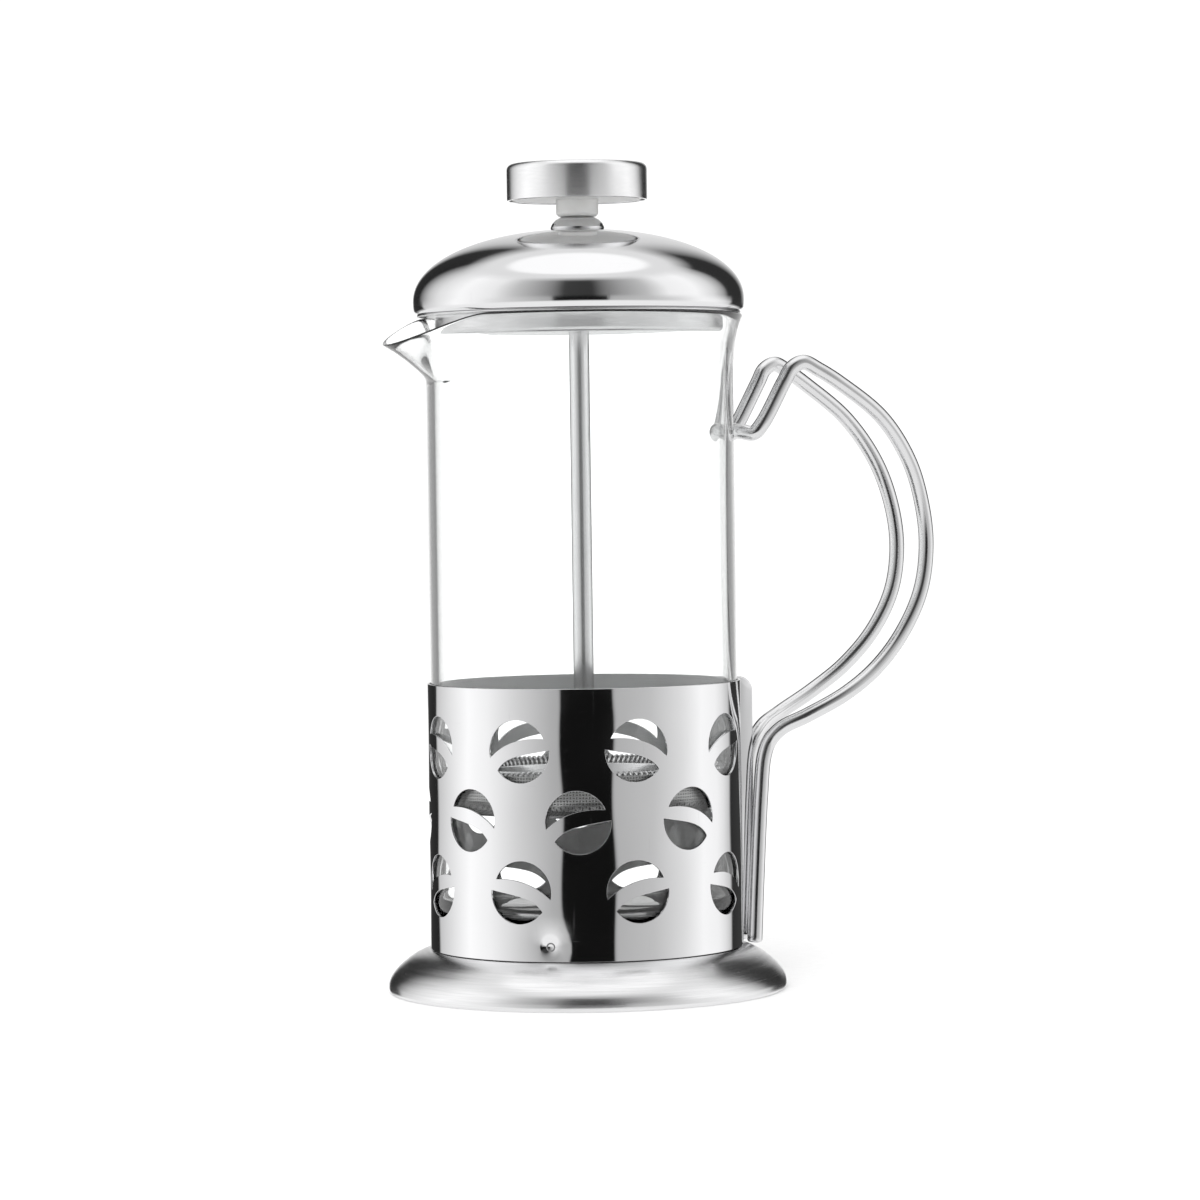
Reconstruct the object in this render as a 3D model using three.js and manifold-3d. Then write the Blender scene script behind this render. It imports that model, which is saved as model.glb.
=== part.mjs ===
// French press for about 350 ml: a glass beaker in a steel holder with a wire handle, and a
// lid with its plunger, filter and knob. Millimetres, +Z up. The pot's own axis is vertical,
// the handle points along +X and the spout along -X. The origin is under the middle of the
// whole object, which is AXIS_X to the handle's side of the pot's axis.
import * as THREE from 'three';
import { mergeVertices } from 'three/addons/utils/BufferGeometryUtils.js';
import Module from 'manifold-3d';

const wasm = await Module();
wasm.setup();

// Driving dimensions -----------------------------------------------------------------------

const AXIS_X = -19.25; // the pot's axis, so that the origin is under the middle of the object
const ROUND = 36; // sides of a large turned piece
const ROUND_SMALL = 16; // sides of a small turned piece

const BASE_R = 45.5;
const BASE_SHEET = 0.8;
const SHELF_Z = 10; // the sleeve stands on this shelf of the base
const SEAT_Z = 16.5; // the beaker stands on this plateau of the base
const DRUM_R = 35.2; // the base's drum, inside the foot of the sleeve

const SLEEVE_R = 35.8;
const SLEEVE_SHEET = 0.5;
const SLEEVE_TOP_Z = 70.5;
const BEAN_R = 7; // radius of each half of a coffee bean cut-out
const BEAN_SHIFT = 0.35; // the two halves are shifted apart sideways by twice this
const BEAN_PITCH = 43.5; // degrees between the beans of one row
const BEAN_ROWS = [
  { z: 56.6, steps: [-3, -2, -1, 0, 1, 2, 3], firstMirrored: 0 },
  { z: 40.9, steps: [-2.5, -1.5, -0.5, 0.5, 1.5, 2.5], firstMirrored: 0 },
  { z: 25.3, steps: [-3, -2, -1, 0, 1, 2, 3], firstMirrored: 1 },
];
const RIVET_ANGLES = [125.4, 234.6]; // degrees round from the handle
const RIVET_Z = 13.3;
const RIVET_R = 1.1;

const BRACKET_HALF_WIDTH = 2.1;
const BRACKET_SHEET = 0.8;
const BRACKET_OUT_R = 41.3;
const BRACKET_FOOT_Z = 10.3;
const BRACKET_CORNER_R = 3.6;
const WIRE_D = 3.5;
const WIRE_STEPS = 92;
// One strand of the wire from its lower end to the middle of the hook: x from the pot's axis,
// half the distance between the strands, z. The other strand mirrors it.
const WIRE_ROUTE = [
  [40.2, 4.0, 8.8], [41.0, 4.0, 24], [42.2, 4.0, 43], [43.2, 4.0, 52], [44.6, 4.2, 55.5],
  [47.2, 5.4, 58.4], [52.6, 7.6, 61.2], [61.7, 9.2, 66], [70.1, 8.8, 72], [77.3, 8.0, 80],
  [82.2, 7.7, 89.5], [83.75, 7.8, 100], [82.5, 8.2, 110], [78.9, 9.0, 120], [71.7, 9.7, 130],
  [61.3, 9.2, 138], [56.2, 8.5, 141.2], [52.6, 8.0, 142.9], [49.8, 7.7, 141.6],
  [47.9, 7.4, 138.5], [42.4, 7.1, 128.9], [40.5, 6.4, 126.7], [38.5, 4.6, 127.0],
  [37.1, 0, 127.4],
];

const GLASS_R = 35;
const GLASS_WALL = 1.8;
const GLASS_FLOOR = 2.25;
const GLASS_CORNER_R = 4;
const RIM_Z = 154;
const RIM_R = 37.3;
const SPOUT_R = 47; // the tip of the spout, from the pot's axis
const SPOUT_ROOT_Z = 139; // the wall starts to lean out here
const SPOUT_TIP_Z = 147.5; // the rim dips to here at the tip
const SPOUT_HALF_ANGLE = 25; // degrees of the rim that the spout takes on each side

const LID_R = 37.75;
const LID_SHEET = 0.5;
const LID_WIDEST_Z = 157.3;
const LID_TOP_Z = 173.25;
const LID_TOP_FLAT_R = 8.5;
const LID_CURVE_POWER = 2.1; // 2 would make the dome an ellipse
const LINER_R = 32.9;
const LINER_PLATE_Z = 149.5;
const LINER_FLANGE_R = 36.9;
const LINER_HOLE_R = 2.8;
const LID_HOLE_R = 4.3;
const FERRULE_R = 6.15;
const FERRULE_TUBE_R = 4;
const FERRULE_BORE_R = 3.3;
const FERRULE_TOP_Z = 176.5;
const FERRULE_FOOT_Z = 150.5;
const LID_NUT_FLATS = 11;
const LID_NUT_HEIGHT = 2.5;

const KNOB_R = 16;
const KNOB_SHEET = 0.6;
const KNOB_FOOT_Z = 180;
const KNOB_TOP_Z = 188.5;
const KNOB_SHOULDER_R = 1.4;
const NECK_R = 4.8;
const KNOB_NUT_FLATS = 7;

const ROD_R = 2.3;
const ROD_BOTTOM_Z = 38.25;
const ROD_TOP_Z = 184.75;
const COLLAR_R = 4.2;
const FILTER_R = 32.7; // the mesh's turned-up edge, just inside the glass
const CROSS_PLATE_Z = 41.25;
const MESH_Z = 42;
const SPRING_PLATE_Z = 42.5;
const COLLAR_Z = 43.125;
const CROSS_PLATE_R = 29.5;
const COIL_RING_R = 29.9; // middle of the edge spring's ring
const COIL_Z = 49.4;
const COIL_R = 2.4; // outer radius of the spring's coil
const HUB_HOLE_R = 2.6; // holes for the rod in the filter's plates

const RUN_GAP = 0.2; // clearance of a piece that slides or turns on the rod

// Looks ------------------------------------------------------------------------------------

const POLISHED = { color: 0xd8d9da, roughness: 0.07, metalness: 1 };
const SATIN = { color: 0xc9cacb, roughness: 0.3, metalness: 1 };
const WOVEN = { color: 0x9c9c9a, roughness: 0.45, metalness: 1 };
const BRASS = { color: 0xc2a45b, roughness: 0.3, metalness: 1 };
const WHITE_PLASTIC = { color: 0xe9e9e6, roughness: 0.35, metalness: 0 };
const GLASS = { color: 0xeef4f3, roughness: 0.02, metalness: 0, transparent: true, opacity: 0.3 };

// Shape helpers ----------------------------------------------------------------------------

const radians = THREE.MathUtils.degToRad;

// Turns an outline of [radius, z] points round the Z axis. The material is on the left of it.
function turned(outline, sides = ROUND) {
  const points = outline.map(([r, z]) => new THREE.Vector2(r, z));
  return new THREE.LatheGeometry(points, sides).rotateX(Math.PI / 2);
}

// Points of an arc in the [radius, z] plane, angles in degrees.
function arc(r, z, radius, from, to, steps) {
  return Array.from({ length: steps + 1 }, (_, i) => {
    const angle = radians(from + ((to - from) * i) / steps);
    return [r + radius * Math.cos(angle), z + radius * Math.sin(angle)];
  });
}

// The outline of a sheet of the given thickness, laid on the left of a line of points.
function sheet(line, thickness) {
  const normals = line.slice(1).map(([r, z], i) => {
    const along = new THREE.Vector2(r - line[i][0], z - line[i][1]).normalize();
    return new THREE.Vector2(-along.y, along.x);
  });
  const inside = line.map(([r, z], i) => {
    const before = normals[Math.max(i - 1, 0)];
    const after = normals[Math.min(i, normals.length - 1)];
    const middle = before.clone().add(after).normalize();
    const reach = thickness / middle.dot(before);
    return [Math.max(r + middle.x * reach, 0), z + middle.y * reach];
  });
  const loop = [...inside.reverse(), ...line];
  return line.at(-1)[0] === 0 ? loop : [...loop, loop[0]];
}

// A ring with a square section.
function ring(innerR, outerR, bottomZ, topZ, sides = ROUND_SMALL) {
  const corners = [[innerR, bottomZ], [outerR, bottomZ], [outerR, topZ], [innerR, topZ]];
  return turned([...corners, corners[0]], sides);
}

function hexNut(acrossFlats, holeR, bottomZ, topZ) {
  const corners = Array.from({ length: 6 }, (_, i) => {
    const angle = radians(60 * i + 30);
    const r = acrossFlats / 2 / Math.cos(radians(30));
    return new THREE.Vector2(r * Math.cos(angle), r * Math.sin(angle));
  });
  const outline = new THREE.Shape(corners);
  outline.holes.push(new THREE.Path().absarc(0, 0, holeR, 0, 2 * Math.PI));
  const options = { depth: topZ - bottomZ, bevelEnabled: false, curveSegments: ROUND_SMALL / 2 };
  return new THREE.ExtrudeGeometry(outline, options).translate(0, 0, bottomZ);
}

function toSolid(geometry) {
  const bare = geometry.clone();
  bare.deleteAttribute('normal');
  bare.deleteAttribute('uv');
  const merged = mergeVertices(bare, 1e-4);
  const mesh = new wasm.Mesh({
    numProp: 3,
    vertProperties: merged.attributes.position.array,
    triVerts: new Uint32Array(merged.index.array),
  });
  return new wasm.Manifold(mesh);
}

// The first geometry with all the others cut out of it.
function cut(geometry, tools) {
  const solid = tools.reduce((left, tool) => left.subtract(toSolid(tool)), toSolid(geometry));
  const mesh = solid.getMesh();
  const result = new THREE.BufferGeometry();
  result.setAttribute('position', new THREE.BufferAttribute(mesh.vertProperties, 3));
  result.setIndex(new THREE.BufferAttribute(mesh.triVerts, 1));
  result.computeVertexNormals();
  return result;
}

// Moves a shape drawn with x to the right and y up, and thick along its z, to the outside of
// the pot: it faces out at the given angle and height, and starts at startR from the axis.
function onPot(geometry, angle, z, startR) {
  const across = new THREE.Vector3(0, 1, 0);
  const up = new THREE.Vector3(0, 0, 1);
  const out = new THREE.Vector3(1, 0, 0);
  geometry.applyMatrix4(new THREE.Matrix4().makeBasis(across, up, out));
  return geometry.translate(startR, 0, z).rotateZ(radians(angle));
}

// A pin that points out of the pot.
function radialPin(radius, startR, endR, angle, z) {
  const pin = new THREE.CylinderGeometry(radius, radius, endR - startR, 12).rotateX(Math.PI / 2);
  pin.translate(0, 0, (endR - startR) / 2);
  return onPot(pin, angle, z, startR);
}

// Base, sleeve and rivets ------------------------------------------------------------------

// Spun sheet: a flat foot, a round shoulder, a shelf and a drum with a flat top.
function baseDish() {
  const line = [
    [40.5, 0], [44.7, 0], [BASE_R, 0.8], [BASE_R, 1.5], [44.9, 2.9], [43.7, 4.6], [42.3, 6.1],
    [40.6, 7.4], [38.4, 8.8], [36.4, SHELF_Z], [DRUM_R, SHELF_Z],
    ...arc(DRUM_R - 1.3, SEAT_Z - 1.3, 1.3, 0, 90, 2), [0, SEAT_Z],
  ];
  const holes = RIVET_ANGLES.map((angle) => radialPin(RIVET_R + RUN_GAP, 32, 38, angle, RIVET_Z));
  return cut(turned(sheet(line, BASE_SHEET)), holes);
}

// Half a bean: an arc from one angle to another, closed by a curve with two bend points.
function beanHalf(shift, fromAngle, toAngle, bendA, bendB) {
  const half = new THREE.Shape().absarc(shift, 0, BEAN_R, radians(fromAngle), radians(toAngle));
  const start = half.getPoint(0);
  half.bezierCurveTo(...bendA, ...bendB, start.x, start.y);
  return half.getPoints(4).slice(0, -1);
}

// The two halves of a bean cut-out leave an S-shaped band between them.
const BEAN_HALVES = [
  beanHalf(-BEAN_SHIFT, 24, 192, [-4.2, 1.5], [0.4, 3.3]),
  beanHalf(BEAN_SHIFT, 217, 363, [1.5, -0.7], [-3, -0.9]),
];

function beanTools(angle, z, mirrored) {
  return BEAN_HALVES.map((half) => {
    const outline = new THREE.Shape(half.map((p) => new THREE.Vector2(mirrored ? -p.x : p.x, p.y)));
    const prism = new THREE.ExtrudeGeometry(outline, { depth: 6, bevelEnabled: false });
    return onPot(prism, angle, z, SLEEVE_R - 3);
  });
}

// Sheet tube with three staggered rows of beans, set out from the spout's side.
function sleeve() {
  const innerR = SLEEVE_R - SLEEVE_SHEET;
  const tube = ring(innerR, SLEEVE_R, SHELF_Z, SLEEVE_TOP_Z, ROUND);
  const beans = BEAN_ROWS.flatMap(({ z, steps, firstMirrored }) =>
    steps.flatMap((step, i) => beanTools(180 + step * BEAN_PITCH, z, (i + firstMirrored) % 2 === 1)));
  const holes = RIVET_ANGLES.map((angle) => radialPin(RIVET_R + RUN_GAP, 32, 38, angle, RIVET_Z));
  return cut(tube, [...beans, ...holes]);
}

// Handle -----------------------------------------------------------------------------------

// Folded channel on the sleeve's seam, open towards the sleeve, with a round top corner.
function handleBracket() {
  const startR = SLEEVE_R + 0.15;
  const side = new THREE.Shape();
  side.moveTo(startR, BRACKET_FOOT_Z);
  side.lineTo(BRACKET_OUT_R, BRACKET_FOOT_Z);
  side.lineTo(BRACKET_OUT_R, SLEEVE_TOP_Z - BRACKET_CORNER_R);
  side.absarc(BRACKET_OUT_R - BRACKET_CORNER_R, SLEEVE_TOP_Z - BRACKET_CORNER_R,
    BRACKET_CORNER_R, 0, Math.PI / 2, false);
  side.lineTo(startR, SLEEVE_TOP_Z);
  const options = { depth: 2 * BRACKET_HALF_WIDTH, bevelEnabled: false, curveSegments: 5 };
  const block = new THREE.ExtrudeGeometry(side, options).rotateX(Math.PI / 2);
  block.translate(0, BRACKET_HALF_WIDTH, 0);
  const hollowOut = BRACKET_OUT_R - BRACKET_SHEET - (startR - 1);
  const hollowTop = SLEEVE_TOP_Z - BRACKET_SHEET - BRACKET_CORNER_R / 3;
  const hollow = new THREE.BoxGeometry(hollowOut, 2 * (BRACKET_HALF_WIDTH - BRACKET_SHEET),
    hollowTop - BRACKET_FOOT_Z + 1);
  hollow.translate(startR - 1 + hollowOut / 2, 0, (hollowTop + BRACKET_FOOT_Z - 1) / 2);
  return cut(block, [hollow]);
}

function handleWire() {
  const strand = WIRE_ROUTE.map(([x, y, z]) => new THREE.Vector3(x, -y, z));
  const other = strand.slice(0, -1).reverse().map((p) => new THREE.Vector3(p.x, -p.y, p.z));
  const path = new THREE.CatmullRomCurve3([...strand, ...other]);
  const section = new THREE.Shape().absarc(0, 0, WIRE_D / 2, 0, 2 * Math.PI);
  const options = { steps: WIRE_STEPS, curveSegments: 4, bevelEnabled: false, extrudePath: path };
  return new THREE.ExtrudeGeometry(section, options);
}

// Beaker -----------------------------------------------------------------------------------

// Moves the points of the rim near -X out and down into a spout.
function pullSpout(geometry) {
  const position = geometry.attributes.position;
  const point = new THREE.Vector3();
  for (let i = 0; i < position.count; i += 1) {
    point.fromBufferAttribute(position, i);
    const r = Math.hypot(point.x, point.y);
    const fromSpout = THREE.MathUtils.radToDeg(Math.abs(Math.atan2(point.y, -point.x)));
    if (point.z > SPOUT_ROOT_Z && fromSpout < SPOUT_HALF_ANGLE) {
      const pull = 0.5 + 0.5 * Math.cos((Math.PI * fromSpout) / SPOUT_HALF_ANGLE);
      const rise = (point.z - SPOUT_ROOT_Z) / (RIM_Z - SPOUT_ROOT_Z);
      const spoutR = r + rise * (SPOUT_R - RIM_R);
      const spoutZ = SPOUT_ROOT_Z + rise * (SPOUT_TIP_Z - SPOUT_ROOT_Z);
      const newR = THREE.MathUtils.lerp(r, spoutR, pull);
      const newZ = THREE.MathUtils.lerp(point.z, spoutZ, pull);
      position.setXYZ(i, (point.x * newR) / r, (point.y * newR) / r, newZ);
    }
  }
  return geometry;
}

function beaker() {
  const innerR = GLASS_R - GLASS_WALL;
  const floorZ = SEAT_Z + GLASS_FLOOR;
  const cornerR = GLASS_CORNER_R;
  const outline = [
    [0, SEAT_Z], ...arc(GLASS_R - cornerR, SEAT_Z + cornerR, cornerR, -90, 0, 2),
    [GLASS_R, SPOUT_ROOT_Z], [35.2, 143.5], [35.7, 148], [36.4, 151], [RIM_R, 153.2],
    [37.1, RIM_Z], [36.2, RIM_Z], [35.2, 152], [34.1, 148.5], [33.5, 144], [innerR, SPOUT_ROOT_Z],
    ...arc(innerR - cornerR, floorZ + cornerR, cornerR, 0, -90, 2), [0, floorZ],
  ];
  return pullSpout(turned(outline, 56));
}

// Lid --------------------------------------------------------------------------------------

// Pressed dome with a flat top and a curled hem that stands on the liner's flange.
function lidDome() {
  const bend = 2 / LID_CURVE_POWER;
  const lastAngle = Math.acos((LID_TOP_FLAT_R / LID_R) ** (1 / bend));
  const height = (LID_TOP_Z - LID_WIDEST_Z) / Math.sin(lastAngle) ** bend;
  const steps = 7;
  const curve = Array.from({ length: steps + 1 }, (_, i) => {
    const angle = (lastAngle * i) / steps;
    return [LID_R * Math.cos(angle) ** bend, LID_WIDEST_Z + height * Math.sin(angle) ** bend];
  });
  const hemZ = RIM_Z + LID_SHEET;
  const line = [[35.9, hemZ], [36.9, hemZ], [37.6, hemZ + 0.8], ...curve];
  return turned(sheet([...line, [LID_HOLE_R, LID_TOP_Z]], LID_SHEET));
}

function lidLiner() {
  const line = [
    [LINER_HOLE_R, LINER_PLATE_Z], [LINER_R - 0.8, LINER_PLATE_Z], [LINER_R, LINER_PLATE_Z + 0.8],
    [LINER_R, RIM_Z - 0.5], [LINER_R + 0.5, RIM_Z], [LINER_FLANGE_R, RIM_Z],
  ];
  return turned(sheet(line, LID_SHEET));
}

// Small domed head on top of the lid and a tube through it, threaded for the lid nut.
function lidFerrule() {
  const outline = [
    [FERRULE_BORE_R, FERRULE_FOOT_Z], [FERRULE_TUBE_R, FERRULE_FOOT_Z],
    [FERRULE_TUBE_R, LID_TOP_Z], [5.4, LID_TOP_Z], [6, LID_TOP_Z + 0.25],
    [FERRULE_R, LID_TOP_Z + 0.7], [5.7, LID_TOP_Z + 1.6], [4.8, LID_TOP_Z + 2.5],
    [3.7, FERRULE_TOP_Z - 0.1], [3.4, FERRULE_TOP_Z], [ROD_R + 0.6, FERRULE_TOP_Z],
    [ROD_R + 0.6, FERRULE_TOP_Z - 0.5], [FERRULE_BORE_R, FERRULE_TOP_Z - 0.5],
  ];
  return turned([...outline, outline[0]], ROUND_SMALL);
}

function lidBush() {
  return ring(ROD_R + RUN_GAP, FERRULE_BORE_R - 0.1, FERRULE_FOOT_Z + 0.5, FERRULE_TOP_Z - 0.75);
}

// Inside the lid, against the underside of the dome's flat top.
function lidNut() {
  const topZ = LID_TOP_Z - LID_SHEET;
  return hexNut(LID_NUT_FLATS, FERRULE_TUBE_R + 0.1, topZ - LID_NUT_HEIGHT, topZ);
}

// Knob -------------------------------------------------------------------------------------

function knobCap() {
  const shoulderZ = KNOB_TOP_Z - KNOB_SHOULDER_R;
  const line = [
    [KNOB_R, KNOB_FOOT_Z], ...arc(KNOB_R - KNOB_SHOULDER_R, shoulderZ, KNOB_SHOULDER_R, 0, 90, 3),
    [0, KNOB_TOP_Z],
  ];
  return turned(sheet(line, KNOB_SHEET));
}

// Plastic core that fills the cap, with a neck below it and a pocket for the nut.
function knobInsert() {
  const fillR = KNOB_R - KNOB_SHEET - 0.1;
  const pocketR = 4.4;
  const boreR = ROD_R + RUN_GAP + 0.1;
  const outline = [
    [0, 185.5], [pocketR, 185.5], [pocketR, 181], [boreR, 181], [boreR, FERRULE_TOP_Z],
    [NECK_R - 0.6, FERRULE_TOP_Z], [NECK_R, FERRULE_TOP_Z + 0.6], [NECK_R, KNOB_FOOT_Z + 0.3],
    [fillR, KNOB_FOOT_Z + 0.3], [fillR, 186.8], [fillR - 0.8, 187.6], [0, 187.6],
  ];
  return turned(outline, ROUND_SMALL);
}

function knobNut() {
  return hexNut(KNOB_NUT_FLATS, ROD_R + RUN_GAP, 181.2, 185.2);
}

// Plunger and filter -----------------------------------------------------------------------

function plungerRod() {
  const tip = 0.4;
  const outline = [
    [0, ROD_BOTTOM_Z], [ROD_R - tip, ROD_BOTTOM_Z], [ROD_R, ROD_BOTTOM_Z + tip],
    [ROD_R, ROD_TOP_Z - tip], [ROD_R - tip, ROD_TOP_Z], [0, ROD_TOP_Z],
  ];
  return turned(outline, ROUND_SMALL);
}

function rodCollar() {
  const outline = [
    [ROD_R + 0.1, COLLAR_Z], [COLLAR_R, COLLAR_Z], [COLLAR_R, COLLAR_Z + 2.4],
    [COLLAR_R - 0.9, COLLAR_Z + 3.3], [ROD_R + 0.1, COLLAR_Z + 3.3],
  ];
  return turned([...outline, outline[0]], ROUND_SMALL);
}

// Flat in the middle, with a wall that rises to hold the edge spring.
function springPlate() {
  const line = [
    [HUB_HOLE_R, SPRING_PLATE_Z], [23.5, SPRING_PLATE_Z], [25.8, SPRING_PLATE_Z + 2.2],
    [26.8, COIL_Z + 0.5],
  ];
  return turned(sheet(line, COLLAR_Z - SPRING_PLATE_Z));
}

function edgeSpring() {
  return new THREE.TorusGeometry(COIL_RING_R, COIL_R, 8, ROUND).translate(0, 0, COIL_Z);
}

function filterMesh() {
  const line = [
    [HUB_HOLE_R, MESH_Z], [29.8, MESH_Z], [31.8, MESH_Z + 1.1], [FILTER_R, MESH_Z + 3.2],
    [FILTER_R, COIL_Z + 1.6],
  ];
  return turned(sheet(line, 0.35));
}

function crossPlate() {
  const outline = new THREE.Shape().absarc(0, 0, CROSS_PLATE_R, 0, 2 * Math.PI);
  const addHole = (x, y, r) => outline.holes.push(new THREE.Path().absarc(x, y, r, 0, 2 * Math.PI));
  addHole(0, 0, HUB_HOLE_R);
  [{ count: 8, r: 12.5, holeR: 2.8 }, { count: 14, r: 22.5, holeR: 2.8 }].forEach((row) => {
    for (let i = 0; i < row.count; i += 1) {
      const angle = (2 * Math.PI * i) / row.count;
      addHole(row.r * Math.cos(angle), row.r * Math.sin(angle), row.holeR);
    }
  });
  const options = { depth: MESH_Z - CROSS_PLATE_Z, bevelEnabled: false, curveSegments: 4 };
  return new THREE.ExtrudeGeometry(outline, options).translate(0, 0, CROSS_PLATE_Z);
}

function filterNut() {
  return hexNut(9, ROD_R + RUN_GAP, CROSS_PLATE_Z - 3.5, CROSS_PLATE_Z);
}

// Assembly ---------------------------------------------------------------------------------

function piece(name, geometry, look) {
  const mesh = new THREE.Mesh(geometry, new THREE.MeshStandardMaterial(look));
  mesh.name = name;
  return mesh;
}

function assembly(...pieces) {
  return new THREE.Group().add(...pieces);
}

const rivets = RIVET_ANGLES.map((angle, i) =>
  piece(`foot_rivet_${i + 1}`, radialPin(RIVET_R, 33.6, 36.1, angle, RIVET_Z), SATIN));

const holder = assembly(
  piece('base_dish', baseDish(), SATIN),
  piece('sleeve', sleeve(), POLISHED),
  piece('handle_bracket', handleBracket(), POLISHED),
  piece('handle_wire', handleWire(), POLISHED),
  ...rivets,
);

const lid = assembly(
  piece('lid_dome', lidDome(), POLISHED),
  piece('lid_liner', lidLiner(), SATIN),
  piece('lid_ferrule', lidFerrule(), POLISHED),
  piece('lid_bush', lidBush(), WHITE_PLASTIC),
  piece('lid_nut', lidNut(), SATIN),
);

const knob = assembly(
  piece('knob_cap', knobCap(), SATIN),
  piece('knob_insert', knobInsert(), WHITE_PLASTIC),
  piece('knob_nut', knobNut(), BRASS),
);

const filter = assembly(
  piece('spring_plate', springPlate(), POLISHED),
  piece('edge_spring', edgeSpring(), SATIN),
  piece('filter_mesh', filterMesh(), WOVEN),
  piece('cross_plate', crossPlate(), SATIN),
  piece('filter_nut', filterNut(), SATIN),
);

const plunger = assembly(
  piece('plunger_rod', plungerRod(), POLISHED),
  piece('rod_collar', rodCollar(), SATIN),
  knob,
  filter,
);

const frenchPress = assembly(holder, piece('beaker', beaker(), GLASS), lid, plunger);
frenchPress.position.x = AXIS_X;

export default frenchPress;
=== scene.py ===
import math

import bmesh
import bpy
import numpy as np
from mathutils import Matrix, Vector
from mathutils.geometry import delaunay_2d_cdt


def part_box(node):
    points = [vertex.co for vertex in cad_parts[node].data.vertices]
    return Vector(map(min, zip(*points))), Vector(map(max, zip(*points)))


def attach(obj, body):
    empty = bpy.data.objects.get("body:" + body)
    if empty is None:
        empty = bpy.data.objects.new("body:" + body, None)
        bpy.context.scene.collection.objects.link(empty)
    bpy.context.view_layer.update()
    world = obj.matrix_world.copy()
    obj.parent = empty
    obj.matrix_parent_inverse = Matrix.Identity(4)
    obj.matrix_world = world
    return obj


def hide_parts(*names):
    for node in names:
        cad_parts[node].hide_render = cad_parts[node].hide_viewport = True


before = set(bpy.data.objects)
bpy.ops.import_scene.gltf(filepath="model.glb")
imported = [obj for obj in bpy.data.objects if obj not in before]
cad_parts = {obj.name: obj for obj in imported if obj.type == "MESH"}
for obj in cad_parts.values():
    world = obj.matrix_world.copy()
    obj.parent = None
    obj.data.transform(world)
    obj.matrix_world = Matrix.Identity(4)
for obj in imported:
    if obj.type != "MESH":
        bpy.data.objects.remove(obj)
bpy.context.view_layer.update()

MM = 0.001
AXIS_X = sum(corner.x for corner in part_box("sleeve")) / 2
SHARP_ANGLE = math.radians(38)  # a bend sharper than this is an edge
ON_AXIS = 1e-6  # a point nearer the axis than this is on it

BASE_R, BASE_SHEET, BASE_FOOT_R = 45.5, 0.8, 40.5
SHELF_Z, DRUM_R, SEAT_Z = 10.0, 34.9, 16.5  # the sleeve stands on the shelf, the beaker on the seat

SLEEVE_R, SLEEVE_SHEET = 35.8, 0.5
SLEEVE_FOOT_Z, SLEEVE_TOP_Z = SHELF_Z, 70.5
SLEEVE_EDGE = 0.1  # the small bevel round its edges and cut-outs
BEAN_R, BEAN_SHIFT, BEAN_PITCH = 7.0, 0.35, 43.5
BEAN_ROWS = [  # height, steps round from the spout, 1 if the first bean is mirrored
    (56.6, (-3, -2, -1, 0, 1, 2, 3), 0),
    (40.9, (-2.5, -1.5, -0.5, 0.5, 1.5, 2.5), 0),
    (25.3, (-3, -2, -1, 0, 1, 2, 3), 1),
]
RIVET_ANGLES, RIVET_Z = (125.4, 234.6), 13.3
RIVET_START_R = 33.6  # a rivet starts here, inside the drum's wall
DENTS = [(0.3, 4.2), (0.5, 1.5)]  # how deep and how far round it a rivet pulls the sleeve in
RIVET_RINGS = np.linspace(0.4, 3.6, 9)  # the sleeve's mesh is finer round a rivet
HOLE_ROOM, RIVET_ROOM = 0.45, 0.4  # its plain grid keeps this far off a cut-out or those rings

WIRE_R, WIRE_SIDES = 1.75, 24
WIRE_ROUTE = [  # one strand, from its lower end to the middle of the hook
    (40.2, 4.0, 8.8), (41.0, 4.0, 24), (42.2, 4.0, 43), (43.2, 4.0, 52), (44.6, 4.2, 55.5),
    (47.2, 5.4, 58.4), (52.6, 7.6, 61.2), (61.7, 9.2, 66), (70.1, 8.8, 72), (77.3, 8.0, 80),
    (82.2, 7.7, 89.5), (83.75, 7.8, 100), (82.5, 8.2, 110), (78.9, 9.0, 120), (71.7, 9.7, 130),
    (61.3, 9.2, 138), (56.2, 8.5, 141.2), (52.6, 8.0, 142.9), (49.8, 7.7, 141.6),
    (47.9, 7.4, 138.5), (42.4, 7.1, 128.9), (40.5, 6.4, 126.7), (38.5, 4.6, 127.0),
    (37.1, 0, 127.4),
]

GLASS_R, GLASS_WALL, GLASS_FLOOR, GLASS_CORNER_R = 35.0, 1.8, 2.25, 4.0
RIM_R, RIM_Z = 37.3, 154.0
SPOUT_R, SPOUT_ROOT_Z, SPOUT_TIP_Z, SPOUT_HALF_ANGLE = 47.0, 139.0, 147.5, 36.0
SPOUT_EASE = 0.12  # rounds the bend where the spout starts

LID_R, LID_SHEET, LID_HOLE_R, LID_FLAT_R = 37.75, 0.5, 4.3, 8.5
LID_WIDEST_Z, LID_TOP_Z = 157.3, 173.25
LID_CURVE_POWER = 2.1  # 2 would make the dome an ellipse
LINER_R, LINER_FLANGE_R, LINER_HOLE_R = 32.9, 36.9, 2.8
LINER_PLATE_Z, LINER_FLANGE_Z = 149.5, 154.0
FERRULE_R, TUBE_R, TUBE_BORE_R, TUBE_FOOT_Z = 6.15, 4.0, 3.3, 150.5

ROD_R, ROD_BOTTOM_Z, ROD_TOP_Z = 2.3, 38.25, 184.75
KNOB_R, KNOB_FOOT_Z, KNOB_TOP_Z, KNOB_SHOULDER_R, KNOB_SHEET = 16.0, 180.0, 188.5, 1.4, 0.55
INSERT_R, INSERT_CORE_R, NECK_R, NECK_FOOT_Z = 14.9, 4.4, 4.8, 176.5

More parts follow.
